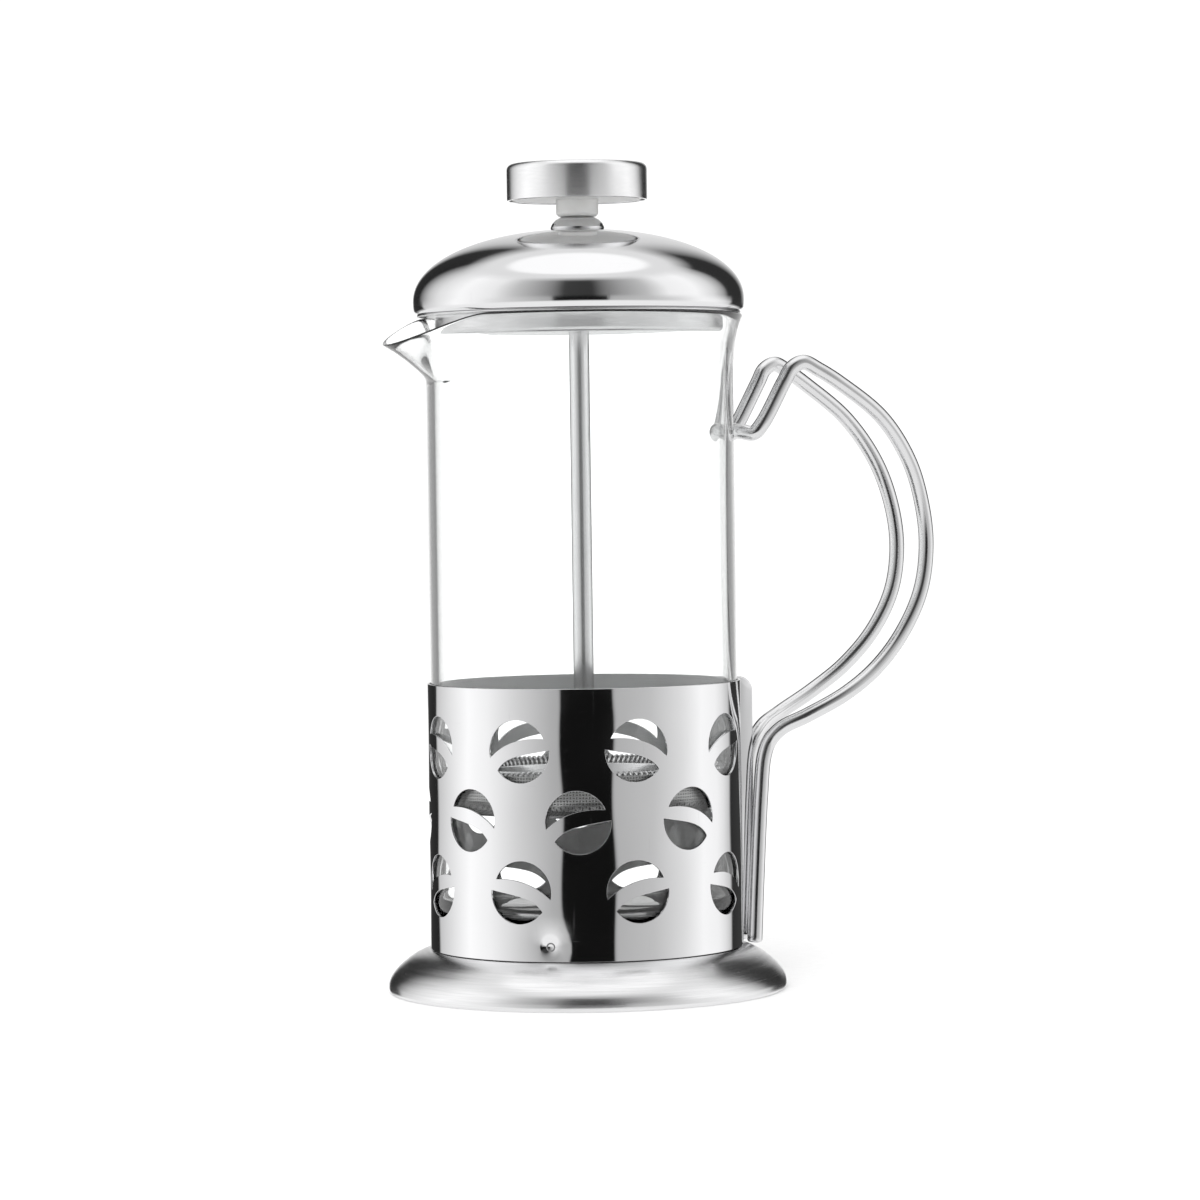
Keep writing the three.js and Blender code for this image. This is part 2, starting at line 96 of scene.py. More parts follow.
HUB_HOLE_R = 2.6  # the rod's hole in the filter's plates and in the knob's insert
SPRING_PLATE_Z, MESH_Z, COLLAR_Z = 42.5, 42.0, 43.125
CLOTH_R, CLOTH_TURN_Z, CLOTH_PITCH = 32.7, 44.2, 0.7  # the woven cloth is upright above CLOTH_TURN_Z
COIL_RING_R, COIL_Z, COIL_R, COIL_WIRE_R = 29.9, 49.4, 2.4, 0.32
COIL_TURNS, COIL_SIDES = 150, 7


# Outlines ---------------------------------------------------------------------------------

def arc(r, z, radius, start, end, steps=8):
    """Points of an arc, angles in degrees."""
    angles = np.radians(np.linspace(start, end, steps + 1))
    return [(r + radius * math.cos(a), z + radius * math.sin(a)) for a in angles]


def fillet(before, corner, after, radius, steps=5):
    """The points that round one corner."""
    corner = Vector(corner)
    back, on = (Vector(before) - corner).normalized(), (Vector(after) - corner).normalized()
    half = back.angle(on) / 2
    centre = corner + (back + on).normalized() * radius / math.sin(half)
    start, end = (corner + way * radius / math.tan(half) - centre for way in (back, on))
    turn = start.angle_signed(end)
    return [tuple(centre + Matrix.Rotation(-turn * i / steps, 2) @ start) for i in range(steps + 1)]


def rounded(corners, closed=True):
    """An outline from (r, z) or (r, z, fillet radius) corners."""
    points = []
    for i, (r, z, *radius) in enumerate(corners):
        inner = closed or 0 < i < len(corners) - 1
        if radius and inner:
            neighbours = corners[i - 1][:2], corners[(i + 1) % len(corners)][:2]
            points += fillet(neighbours[0], (r, z), neighbours[1], radius[0])
        else:
            points.append((r, z))
    return points


def spline(points, steps):
    """Centripetal Catmull-Rom curve through the points, with so many steps between two."""
    p = np.array(points, float)
    p = np.vstack([2 * p[0] - p[1], p, 2 * p[-1] - p[-2]])
    gaps = np.linalg.norm(np.diff(p, axis=0), axis=1) ** 0.5
    t = np.linspace(0, 1, steps, endpoint=False)[:, None]
    curve = []
    for i in range(1, len(p) - 2):
        (a, b, c), (p0, p1, p2, p3) = gaps[i - 1:i + 2], p[i - 1:i + 3]
        m1 = ((p1 - p0) / a - (p2 - p0) / (a + b) + (p2 - p1) / b) * b
        m2 = ((p2 - p1) / b - (p3 - p1) / (b + c) + (p3 - p2) / c) * b
        bend, swing = 2 * p1 - 2 * p2 + m1 + m2, 3 * p2 - 3 * p1 - 2 * m1 - m2
        curve.append(((bend * t + swing) * t + m1) * t + p1)
    return [tuple(q) for q in np.vstack([*curve, p[-2]])]


def sheet(line, thickness):
    """Closed outline of a sheet laid on the left of a line, with round edges."""
    p = np.array(line, float)
    along = np.diff(p, axis=0)
    along /= np.linalg.norm(along, axis=1)[:, None]
    normal = np.stack([-along[:, 1], along[:, 0]], 1)
    before, after = np.vstack([normal[:1], normal]), np.vstack([normal, normal[-1:]])
    middle = before + after
    middle /= np.linalg.norm(middle, axis=1)[:, None]
    inside = p + middle * (thickness / np.sum(middle * before, axis=1))[:, None]
    inside[:, 0] = np.maximum(inside[:, 0], 0)
    edge = thickness * 0.45
    ends = {0, len(p) - 1} if p[-1, 0] > 0 else {0}
    outer, inner = ([(*q, edge) if i in ends else tuple(q) for i, q in enumerate(side)]
                    for side in (p, inside))
    return rounded([*outer, *reversed(inner)])


# Meshes -----------------------------------------------------------------------------------

def lathe(outline, sides=144):
    """Vertices and faces of an outline turned round Z. The material is on its left."""
    angles = np.linspace(0, 2 * math.pi, sides, endpoint=False)
    rings, vertices, faces = [], [], []
    for r, z in outline:
        count = 1 if r < ON_AXIS else sides
        rings.append([len(vertices) + k % count for k in range(sides)])
        vertices += [(r * math.cos(a), r * math.sin(a), z) for a in angles[:count]]
    closed = outline[0][0] > ON_AXIS or outline[-1][0] > ON_AXIS
    for low, high in zip(rings, rings[1:] + rings[:1] if closed else rings[1:]):
        for k in range(sides):
            n = (k + 1) % sides
            face = dict.fromkeys([low[k], low[n], high[n], high[k]])
            if len(face) > 2:
                faces.append(list(face))
    return vertices, faces


def tube(path, radius, sides, end_steps=0):
    """A round bar along a path, its ends rounded if end_steps is set, and how far along the
    path each vertex is."""
    p = np.array(path, float)
    tangents = np.gradient(p, axis=0)
    tangents /= np.linalg.norm(tangents, axis=1)[:, None]
    lengths = np.concatenate([[0], np.cumsum(np.linalg.norm(np.diff(p, axis=0), axis=1))])
    side = np.cross(tangents[0], (0.3, 0.9, 0.1))
    turn = np.linspace(0, 2 * math.pi, sides, endpoint=False)[:, None]
    rings = []
    for point, tangent in zip(p, tangents):
        side = side - tangent * side.dot(tangent)
        side /= np.linalg.norm(side)
        other = np.cross(tangent, side)
        rings.append((point, np.cos(turn) * side + np.sin(turn) * other, 1.0))
    if end_steps:
        cap = 0.35 * radius  # how far the rounding reaches
        swing = np.linspace(0, math.pi / 2, end_steps, endpoint=False)[::-1]
        lift, shrink = cap * np.sin(swing) - cap, 1 - cap / radius * (1 - np.cos(swing))
        (p0, ring0, _), (p1, ring1, _) = rings[0], rings[-1]
        first = [(p0 - tangents[0] * out, ring0, scale) for out, scale in zip(lift, shrink)]
        last = [(p1 + tangents[-1] * out, ring1, scale) for out, scale in zip(lift, shrink)]
        rings = [*first, *rings[1:-1], *last[::-1]]
        lengths = np.concatenate([[0] * end_steps, lengths[1:-1], [lengths[-1]] * end_steps])
    vertices = np.vstack([point + ring * radius * scale for point, ring, scale in rings])
    faces = [(a + k, a + (k + 1) % sides, a + sides + (k + 1) % sides, a + sides + k)
             for a in range(0, (len(rings) - 1) * sides, sides) for k in range(sides)]
    faces += [tuple(range(sides))[::-1], tuple(range(len(vertices) - sides, len(vertices)))]
    return vertices, faces, np.repeat(lengths, sides)


def piece(name, shape, body, material, replaces=(), matrix=None):
    """One shown piece from (vertices, faces) in millimetres round the pot's axis."""
    mesh = bpy.data.meshes.new(name)
    vertices = np.array(shape[0], float) * MM
    mesh.from_pydata(vertices.tolist(), [], [list(map(int, face)) for face in shape[1]])
    if matrix is not None:
        mesh.transform(matrix)
    mesh.shade_smooth()
    mesh.set_sharp_from_angle(angle=SHARP_ANGLE)
    mesh.materials.append(material)
    made = bpy.data.objects.new(name, mesh)
    made.location.x = AXIS_X
    bpy.context.scene.collection.objects.link(made)
    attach(made, body)
    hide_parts(*(replaces or [name.removesuffix("_look")]))
    return made


def bevelled(node, name, width, body, material):
    """A finer copy of a faceted CAD node: its real edges are rounded."""
    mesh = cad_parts[node].data.copy()
    mesh.materials.clear()
    work = bmesh.new()
    work.from_mesh(mesh)
    bmesh.ops.remove_doubles(work, verts=work.verts, dist=1e-6)
    bmesh.ops.dissolve_limit(work, angle_limit=math.radians(2), verts=work.verts, edges=work.edges)
    real = [e for e in work.edges if len(e.link_faces) == 2 and e.calc_face_angle() > SHARP_ANGLE]
    bmesh.ops.bevel(work, geom=real, offset=width * MM, segments=3, profile=0.5, affect="EDGES",
                    clamp_overlap=True)
    bmesh.ops.triangulate(work, faces=[f for f in work.faces if len(f.verts) > 4])
    bmesh.ops.translate(work, verts=work.verts, vec=(-AXIS_X, 0, 0))
    work.verts.index_update()
    shape = [v.co * (1 / MM) for v in work.verts], [[v.index for v in f.verts] for f in work.faces]
    work.free()
    bpy.data.meshes.remove(mesh)
    return piece(name, shape, body, material, [node])


# Shader nodes -----------------------------------------------------------------------------

def node(tree, kind, inputs=None, **settings):
    """Adds a shader node. An input is a value or another node's output."""
    made = tree.nodes.new("ShaderNode" + kind)
    for key, value in settings.items():
        setattr(made, key, value)
    for key, value in (inputs or {}).items():
        if isinstance(value, bpy.types.NodeSocket):
            tree.links.new(value, made.inputs[key])
        else:
            made.inputs[key].default_value = value
    return made


def maths(tree, operation, *values):
    return node(tree, "Math", dict(enumerate(values)), operation=operation).outputs[0]


def ramp(tree, factor, stops):
    """Grey or coloured ramp through (position, value) stops."""
    made = node(tree, "ValToRGB", {"Fac": factor})
    band = made.color_ramp
    while len(band.elements) < len(stops):
        band.elements.new(1)
    for element, (position, value) in zip(band.elements, stops):
        element.position = position
        grey = (value,) * 3 if isinstance(value, (int, float)) else value
        element.color = (*grey, 1)
    return made.outputs["Color"]


def weighted(tree, first, second, share):
    """A sum of two values, with that share of the second."""
    return maths(tree, "ADD", maths(tree, "MULTIPLY", first, 1 - share),
                 maths(tree, "MULTIPLY", second, share))


def between(tree, factor, low, high):
    """low to high as the factor goes from 0 to 1."""
    made = node(tree, "MapRange", {"Value": factor, "To Min": low, "To Max": high})
    return made.outputs["Result"]


def mixed(tree, factor, low, high):
    """Colours: low where the factor is 0 and high where it is 1."""
    return node(tree, "Mix", {0: factor, 6: low, 7: high}, data_type="RGBA").outputs[2]


def separated(tree, vector):
    """The x, y and z of a vector."""
    return tuple(node(tree, "SeparateXYZ", {0: vector}).outputs)


def combined(tree, x=0.0, y=0.0, z=0.0):
    return node(tree, "CombineXYZ", {0: x, 1: y, 2: z}).outputs[0]


def noise(tree, vector, scale=1.0, detail=3.0, w=None):
    inputs = {"Vector": vector, "Scale": scale, "Detail": detail}
    if w is None:
        return node(tree, "TexNoise", inputs).outputs["Fac"]
    return node(tree, "TexNoise", {**inputs, "W": w}, noise_dimensions="4D").outputs["Fac"]


def stretched(tree, vector, x, y, z):
    return node(tree, "VectorMath", {0: vector, 1: (x, y, z)}, operation="MULTIPLY").outputs[0]


def bump(tree, height, depth, under=None):
    inputs = {"Height": height, "Distance": depth}
    if under is not None:
        inputs["Normal"] = under
    return node(tree, "Bump", inputs).outputs["Normal"]


def material(name, **settings):
    """A material with its Principled shader, its tree and the object coordinates."""
    made = bpy.data.materials.new(name)
    made.use_nodes = True
    tree = made.node_tree
    shader = tree.nodes["Principled BSDF"]
    for key, value in settings.items():
        shader.inputs[key.replace("_", " ")].default_value = value
    return made, tree, shader, node(tree, "TexCoord").outputs["Object"]


def drive(tree, shader, **outputs):
    """Joins outputs of nodes to inputs of the shader."""
    for key, output in outputs.items():
        tree.links.new(output, shader.inputs[key.replace("_", " ")])


def steel_colour(tree, shade, blue=0.006):
    """A grey with that much more blue."""
    return node(tree, "CombineColor", {0: shade, 1: shade, 2: maths(tree, "ADD", shade, blue)}).outputs[0]


def turned_lines(tree, position, per_mm, streak, detail=2.0):
    """Noise drawn out into fine lines round the axis. A high streak makes short lines."""
    x, y, height = separated(tree, position)
    flat = combined(tree, x, y)
    distance = node(tree, "VectorMath", {0: flat}, operation="LENGTH").outputs["Value"]
    direction = node(tree, "VectorMath", {0: flat}, operation="NORMALIZE").outputs[0]
    x, y, _ = separated(tree, stretched(tree, direction, streak, streak, streak))
    vector = combined(tree, x, y, maths(tree, "MULTIPLY", distance, per_mm / MM))
    return noise(tree, vector, 1.0, detail, maths(tree, "MULTIPLY", height, per_mm / MM))


def polished_steel(name, tint=0.88, rough=0.03, waviness=0.012, lines=0.0):
    """Mirror polished sheet: faint smudges, hair scratches and a trace of the polishing."""
    made, tree, shader, position = material(name, Metallic=1.0)
    smudge = noise(tree, position, 55, 4)
    hair = noise(tree, stretched(tree, position, 900, 900, 60), 1.0, 4)
    cross = noise(tree, stretched(tree, position, 140, 140, 2600), 1.0, 3)
    scratch = maths(tree, "MAXIMUM", ramp(tree, hair, [(0.66, 0), (0.74, 1)]),
                    ramp(tree, cross, [(0.68, 0), (0.76, 1)]))
    blur = maths(tree, "ADD", between(tree, smudge, rough, rough + 0.05),
                 maths(tree, "MULTIPLY", scratch, 0.06))
    shade = maths(tree, "SUBTRACT", between(tree, smudge, tint + 0.02, tint - 0.02),
                  maths(tree, "MULTIPLY", scratch, 0.03))
    soft = bump(tree, noise(tree, position, 26, 1.5), waviness * MM * 10)
    soft = bump(tree, scratch, -0.0012 * MM, soft)
    if lines:
        soft = bump(tree, turned_lines(tree, position, 3.0, 3.0), lines * MM, soft)
    drive(tree, shader, Base_Color=steel_colour(tree, shade, 0.008), Roughness=blur, Normal=soft)
    return made


def satin_steel(name, tint, low, high, depth, streak, metallic=1.0, spread=0.06):
    """Spun and brushed sheet: fine lines round the axis, which blur what it mirrors up and
    down, with dull patches. Its roughness runs from low to high."""
    made, tree, shader, position = material(name, Metallic=metallic, Anisotropic=0.7,
                                            Anisotropic_Rotation=0.25)
    fine = turned_lines(tree, position, 3.2, streak * 2, 3)
    broad = turned_lines(tree, position, 0.55, streak, 2)
    patch = noise(tree, position, 150, 5)
    grain = weighted(tree, fine, broad, 0.35)
    contrast = ramp(tree, weighted(tree, grain, patch, 0.12), [(0.3, 0), (0.7, 1)])
    shade = between(tree, contrast, tint + spread, tint - spread)
    soft = bump(tree, broad, depth * 2 * MM, bump(tree, fine, depth * MM))
    tangent = node(tree, "Tangent", direction_type="RADIAL", axis="Z").outputs[0]
    drive(tree, shader, Base_Color=steel_colour(tree, shade), Normal=soft, Tangent=tangent,
          Roughness=between(tree, contrast, low, high))
    return made


def drawn_steel(name, along=None, tint=0.8, low=0.1, high=0.22):
    """Drawn bar: fine lines that run along it. along is the attribute with the length, or
    the bar is straight and upright."""
    made, tree, shader, position = material(name, Metallic=1.0)
    if along:
        length = node(tree, "Attribute", attribute_name=along).outputs["Fac"]
        turn = node(tree, "Attribute", attribute_name="turn").outputs["Vector"]
        shift = combined(tree, z=maths(tree, "MULTIPLY", length, 30))
        vector = node(tree, "VectorMath", {0: stretched(tree, turn, 9, 9, 9), 1: shift}).outputs[0]
    else:
        vector = stretched(tree, position, 3800, 3800, 26)
    grain = noise(tree, vector, 1.0, 4)
    patch = noise(tree, position, 160, 3)
    blur = between(tree, ramp(tree, grain, [(0.3, 0), (0.7, 1)]), low, high)
    shade = between(tree, weighted(tree, grain, patch, 0.4), tint + 0.09, tint - 0.09)
    drive(tree, shader, Base_Color=steel_colour(tree, shade), Roughness=blur,
          Normal=bump(tree, grain, 0.006 * MM))
    return made


def woven_steel(name):
    """Plain weave of fine wire: over and under in both directions, with painted shade darkening the gaps
    between the wires.
    """
    made, tree, shader, position = material(name, Metallic=1.0)
    x, y, height = separated(tree, position)
    round_wall = maths(tree, "MULTIPLY", maths(tree, "ARCTAN2", y, x), CLOTH_R * MM)
    upright = maths(tree, "GREATER_THAN", height, CLOTH_TURN_Z * MM)
    lying = maths(tree, "SUBTRACT", 1.0, upright)

    def along(on_floor, on_wall):
        place = maths(tree, "ADD", maths(tree, "MULTIPLY", on_wall, upright),
                      maths(tree, "MULTIPLY", on_floor, lying))
        return maths(tree, "MULTIPLY", place, math.pi / (CLOTH_PITCH * MM))

    def wave(phase, shift=0.0):
        return maths(tree, "SINE", maths(tree, "ADD", phase, shift))

    u, v = along(x, round_wall), along(y, height)
    warp, weft = (maths(tree, "ABSOLUTE", wave(phase)) for phase in (u, v))
    over = maths(tree, "MULTIPLY", wave(u, math.pi / 2), wave(v, math.pi / 2))
    lift = maths(tree, "MULTIPLY", over, 0.25)
    cloth = maths(tree, "MAXIMUM", maths(tree, "ADD", warp, lift), maths(tree, "SUBTRACT", weft, lift))
    tone = noise(tree, position, 240, 3)
    # painted shade: the colour goes nearly black where the wires dip into the gaps, and darker down each
    # wire's sides
    painted_gap_shade = ramp(tree, cloth, [(0.55, 0.01), (0.9, 0.5)])
    drive(tree, shader, Base_Color=mixed(tree, between(tree, tone, 0.0, 0.3), painted_gap_shade, (0.3, 0.3, 0.29, 1)),
          Roughness=between(tree, tone, 0.3, 0.5), Normal=bump(tree, cloth, 0.09 * MM))
    return made


def milky_plastic(name):
    """Moulded plastic, white and slightly translucent."""
    made, tree, shader, position = material(name, Subsurface_Weight=0.35, Subsurface_Scale=0.003,
                                            IOR=1.49, Coat_Weight=0.15, Coat_Roughness=0.2)
    shader.inputs["Subsurface Radius"].default_value = (1.0, 0.95, 0.9)
    tone = noise(tree, position, 180, 4)
    grain = bump(tree, noise(tree, position, 900, 2), 0.01 * MM)
    lines = turned_lines(tree, position, 0.8, 2.0)
    drive(tree, shader, Roughness=between(tree, tone, 0.28, 0.42),
          Base_Color=ramp(tree, tone, [(0.3, (0.80, 0.80, 0.785)), (0.7, (0.90, 0.90, 0.89))]),
          Normal=bump(tree, lines, 0.012 * MM, grain))
    return made


def turned_brass(name):
    made, tree, shader, position = material(name, Metallic=1.0)
    lines = turned_lines(tree, position, 2.0, 3.0)
    drive(tree, shader, Roughness=between(tree, lines, 0.18, 0.38),
          Base_Color=ramp(tree, lines, [(0.3, (0.70, 0.53, 0.24)), (0.7, (0.80, 0.66, 0.36))]),
          Normal=bump(tree, lines, 0.02 * MM))
    return made


def clear_glass(name):
    """Blown glass: clear, with a trace of waviness along it and faint smears."""
    made, tree, shader, position = material(name, Transmission_Weight=1.0, IOR=1.47, Roughness=0.0)
    tone = noise(tree, position, 40, 4)
    wavy = noise(tree, stretched(tree, position, 60, 60, 12), 1.0, 1)
    drive(tree, shader, Normal=bump(tree, wavy, 0.03 * MM),
          Base_Color=ramp(tree, tone, [(0.3, (0.975, 0.985, 0.982)), (0.7, (0.992, 0.996, 0.995))]))
    return made


# Sleeve -----------------------------------------------------------------------------------

def bean_half(shift, start, end, bend_a, bend_b, steps=26):
    """Half a bean: an arc, closed by a curve with two bend points."""
    outline = arc(shift, 0, BEAN_R, start, end, steps)
    ends = [np.array(q) for q in (outline[-1], bend_a, bend_b, outline[0])]
    for t in np.linspace(0, 1, steps, endpoint=False)[1:]:
        weights = ((1 - t) ** 3, 3 * t * (1 - t) ** 2, 3 * t * t * (1 - t), t ** 3)
        outline.append(tuple(sum(w * q for w, q in zip(weights, ends))))
    return np.array(outline)


BEAN_HALVES = (
    bean_half(-BEAN_SHIFT, 24, 192, (-4.2, 1.5), (0.4, 3.3)),
    bean_half(BEAN_SHIFT, 217, 363, (1.5, -0.7), (-3, -0.9)),
)


def bean_loops():
    """Every cut-out of the unrolled sleeve: (distance round from the handle, height)."""
    loops = []
    for z, steps, first in BEAN_ROWS:
        for i, step in enumerate(steps):
            for half in BEAN_HALVES:
                loop = (half * (-1, 1))[::-1] if (i + first) % 2 else half
                around_pot = math.radians(180 + step * BEAN_PITCH) * SLEEVE_R
                loops.append(loop + (around_pot, z))
    return loops


def side_normals(loop):
    """Normal of each side of a loop that runs counterclockwise, towards its inside."""
    along = np.roll(loop, -1, axis=0) - loop
    along /= np.linalg.norm(along, axis=1)[:, None]
    return np.stack([-along[:, 1], along[:, 0]], 1)


def widened(loop, by):
    normals = side_normals(loop)
    corner = normals + np.roll(normals, 1, axis=0)
    corner /= np.maximum(np.linalg.norm(corner, axis=1), 0.5)[:, None]
    return loop - corner * by


def inside(loop, points):
    """Which points lie inside a loop."""
    x, y = points[:, 0, None], points[:, 1, None]
    (x0, y0), (x1, y1) = loop.T, np.roll(loop, -1, axis=0).T
    crosses = ((y0 > y) != (y1 > y)) & (x < (x1 - x0) * (y - y0) / (y1 - y0 + 1e-12) + x0)
    return crosses.sum(axis=1) % 2 == 1


def dent(points):
    """How far the sheet is off a true cylinder: the rivets' dents and a little waviness."""
    u, z = points[:, 0], points[:, 1]
    off = 0.035 * np.sin(u / SLEEVE_R * 7 + z / 9) * np.sin(z / 11 + 0.7)
    off += 0.025 * np.sin(u / SLEEVE_R * 12 - z / 5.5 + 1.1)
    for angle in RIVET_ANGLES:
        du = u - math.radians(angle) * SLEEVE_R
        for depth, reach in DENTS:
            off -= depth * np.exp(-(du ** 2 + (z - RIVET_Z) ** 2) / reach ** 2)
    return off * np.clip((SLEEVE_TOP_Z - z) / 6, 0.25, 1)


def on_sleeve(points, r):
    """Points and outward normals on the rolled sheet, for unrolled points at radius r."""
    step = 0.05
    across = (dent(points + (step, 0)) - dent(points - (step, 0))) / (2 * step)
    upward = (dent(points + (0, step)) - dent(points - (0, step))) / (2 * step)
    angle = points[:, 0] / SLEEVE_R
    out = np.stack([np.cos(angle), np.sin(angle), 0 * angle], 1)
    way = np.stack([-np.sin(angle), np.cos(angle), 0 * angle], 1)
    up = np.tile((0.0, 0.0, 1.0), (len(points), 1))
    normal = out - way * across[:, None] - up * upward[:, None]
    normal /= np.linalg.norm(normal, axis=1)[:, None]
    place = out * (r + dent(points))[:, None] + up * points[:, 1:]
    return place, normal, way, up


def sleeve_points(holes, low, high, columns=144, rows=30):
    """The unrolled sheet's columns, the points of its outline and the points in it."""
    u, z = np.linspace(0, 2 * math.pi * SLEEVE_R, columns + 1), np.linspace(low, high, rows + 1)
    grid = np.stack(np.meshgrid(u[1:-1], z[1:-1]), -1).reshape(-1, 2)
    for loop in holes:
        near = np.min(np.linalg.norm(grid[:, None] - loop[None], axis=2), axis=1) < HOLE_ROOM
        grid = grid[~(near | inside(loop, grid))]
    ways = np.linspace(0, 2 * math.pi, 24, endpoint=False)
    circle = np.stack([np.cos(ways), np.sin(ways)], 1)
    for angle in RIVET_ANGLES:
        rivet = np.array([math.radians(angle) * SLEEVE_R, RIVET_Z])
        grid = grid[np.linalg.norm(grid - rivet, axis=1) > RIVET_RINGS[-1] + RIVET_ROOM]
        grid = np.vstack([grid, rivet, *[rivet + circle * r for r in RIVET_RINGS if RIVET_Z - r > low]])
    outline = [*[(a, low) for a in u[:-1]], *[(u[-1], b) for b in z[:-1]],
               *[(a, high) for a in u[:0:-1]], *[(0, b) for b in z[:0:-1]]]
    return u, np.array(outline), grid


def triangulated(outline, holes, grid):
    """Points and triangles of the flat sheet, without the triangles in its holes."""
    flat, edges, start = np.vstack([outline, *holes, grid]), [], 0
    for loop in (outline, *holes):
        edges += [(start + i, start + (i + 1) % len(loop)) for i in range(len(loop))]
        start += len(loop)
    found, _, triangles, *_ = delaunay_2d_cdt([Vector(p) for p in flat], edges, [], 1, 1e-5)
    flat, triangles = np.array([tuple(p) for p in found]), np.array(triangles)
    middles = flat[triangles].mean(axis=1)
    for loop in holes:
        keep = ~inside(loop, middles)
        triangles, middles = triangles[keep], middles[keep]
    return flat, triangles


def edge_wall(wide, true, closed, first):
    """The sheet's wall along one edge, bevelled from the wide line to the true one on both
    faces: vertices, faces and corner normals. first is the number of its first vertex."""
    sides = side_normals(true)
    if not closed:
        sides = np.vstack([sides[:-1], sides[-2:-1]])
    before = np.roll(sides, 1, axis=0) if closed else np.vstack([sides[:1], sides[:-1]])
    soft_corner = np.sum(sides * before, axis=1) > math.cos(SHARP_ANGLE)
    mean = sides + before
    mean /= np.maximum(np.linalg.norm(mean, axis=1), 1e-6)[:, None]

    inner_r = SLEEVE_R - SLEEVE_SHEET
    rings = [on_sleeve(wide, SLEEVE_R), on_sleeve(true, SLEEVE_R - SLEEVE_EDGE),
             on_sleeve(true, inner_r + SLEEVE_EDGE), on_sleeve(wide, inner_r)]
    outer_normals, (_, _, way, up) = rings[0][1], rings[-1]
    size, faces, normals = len(wide), [], []
    for k, facings in enumerate(((1, 0), (0, 0), (0, -1))):  # 1 and -1: as the sheet's two faces
        a = first + k * size
        b = a + size
        for i in range(size if closed else size - 1):
            n = (i + 1) % size
            faces.append((a + i, a + n, b + n, b + i))
            for corner, facing in ((i, facings[0]), (n, facings[0]), (n, facings[1]), (i, facings[1])):
                flat_normal = mean[corner] if soft_corner[corner] else sides[i]
                wall = flat_normal[0] * way[corner] + flat_normal[1] * up[corner]
                normals.append(facing * outer_normals[corner] if facing else wall)
    return np.vstack([place for place, *_ in rings]), faces, normals


def add_sleeve(outside, within):
    """The sleeve, with its own finish on the inner face."""
    low, high = SLEEVE_FOOT_Z + SLEEVE_EDGE, SLEEVE_TOP_Z - SLEEVE_EDGE
    true_loops = bean_loops()
    loops = [widened(loop, SLEEVE_EDGE) for loop in true_loops]
    columns, outline, grid = sleeve_points(loops, low, high)
    flat, triangles = triangulated(outline, loops, grid)
    vertices, faces, normals = [], [], []
    for r, facing in ((SLEEVE_R, 1), (SLEEVE_R - SLEEVE_SHEET, -1)):
        place, normal, _, _ = on_sleeve(flat, r)
        order = triangles if facing > 0 else triangles[:, ::-1]
        faces += [tuple(t + len(vertices)) for t in order]
        normals += [facing * normal[i] for t in order for i in t]
        vertices += list(place)

    bottom, top = (np.stack([columns, np.full_like(columns, z)], 1) for z in (low, high))
    edges = [(wide, true, True) for wide, true in zip(loops, true_loops)]
    edges.append((top, top + (0, SLEEVE_EDGE), False))
    edges.append((bottom[::-1], (bottom - (0, SLEEVE_EDGE))[::-1], False))
    for wide, true, closed in edges:
        wall, wall_faces, wall_normals = edge_wall(wide, true, closed, len(vertices))
        vertices += list(wall)
        faces += wall_faces
        normals += wall_normals
    made = piece("sleeve_look", (vertices, faces), "holder", outside, ["sleeve"])
    made.data.normals_split_custom_set([tuple(n) for n in normals])
    made.data.materials.append(within)
    finish = np.zeros(len(faces), np.int32)
    finish[len(triangles):2 * len(triangles)] = 1
    made.data.polygons.foreach_set("material_index", finish)


# Other shapes -----------------------------------------------------------------------------

def wire_path(steps=12):
    """Both strands of the handle's wire, in one line."""
    strand = [(x, -y, z) for x, y, z in WIRE_ROUTE]
    other = [(x, -y, z) for x, y, z in reversed(strand[:-1])]
    return spline([*strand, *other], steps)


def add_along(made, lengths, sides):
    """Stores how far along the bar a vertex is and its place round the bar."""
    along = made.data.attributes.new("along", "FLOAT", "POINT")
    along.data.foreach_set("value", (lengths * MM).astype(np.float32))
    turn = made.data.attributes.new("turn", "FLOAT_VECTOR", "POINT")
    angles = np.arange(len(lengths)) % sides * (2 * math.pi / sides)
    places = np.stack([np.cos(angles), np.sin(angles), 0 * angles], 1)
    turn.data.foreach_set("vector", places.astype(np.float32).ravel())


def coil_path(samples=14):
    """A coil bent to a ring, with so many points to a turn."""
    turns = np.linspace(0, 2 * math.pi * COIL_TURNS, COIL_TURNS * samples + 1)
    ring, reach = turns / COIL_TURNS, COIL_R - COIL_WIRE_R
    r = COIL_RING_R + reach * np.cos(turns)
    return np.stack([r * np.cos(ring), r * np.sin(ring), COIL_Z + reach * np.sin(turns)], 1)


def pulled_spout(vertices):
    """Moves the rim near -X out and down into a spout."""
    v = np.array(vertices, float)
    r = np.maximum(np.hypot(v[:, 0], v[:, 1]), 1e-9)
    off = np.degrees(np.abs(np.arctan2(v[:, 1], -v[:, 0])))
    pull = np.where(off < SPOUT_HALF_ANGLE, 0.5 + 0.5 * np.cos(math.pi * off / SPOUT_HALF_ANGLE), 0)
    rise = np.maximum(v[:, 2] - SPOUT_ROOT_Z, 0) / (RIM_Z - SPOUT_ROOT_Z)
    rise = (np.hypot(rise, SPOUT_EASE) - SPOUT_EASE) / (math.hypot(1, SPOUT_EASE) - SPOUT_EASE)
    new_r = r + pull * rise * (SPOUT_R - RIM_R)
    spout_z = SPOUT_ROOT_Z + rise * (SPOUT_TIP_Z - SPOUT_ROOT_Z)
    v[:, 2] = np.where(rise > 0, v[:, 2] + pull * (spout_z - v[:, 2]), v[:, 2])
    v[:, :2] *= (new_r / r)[:, None]
    return v


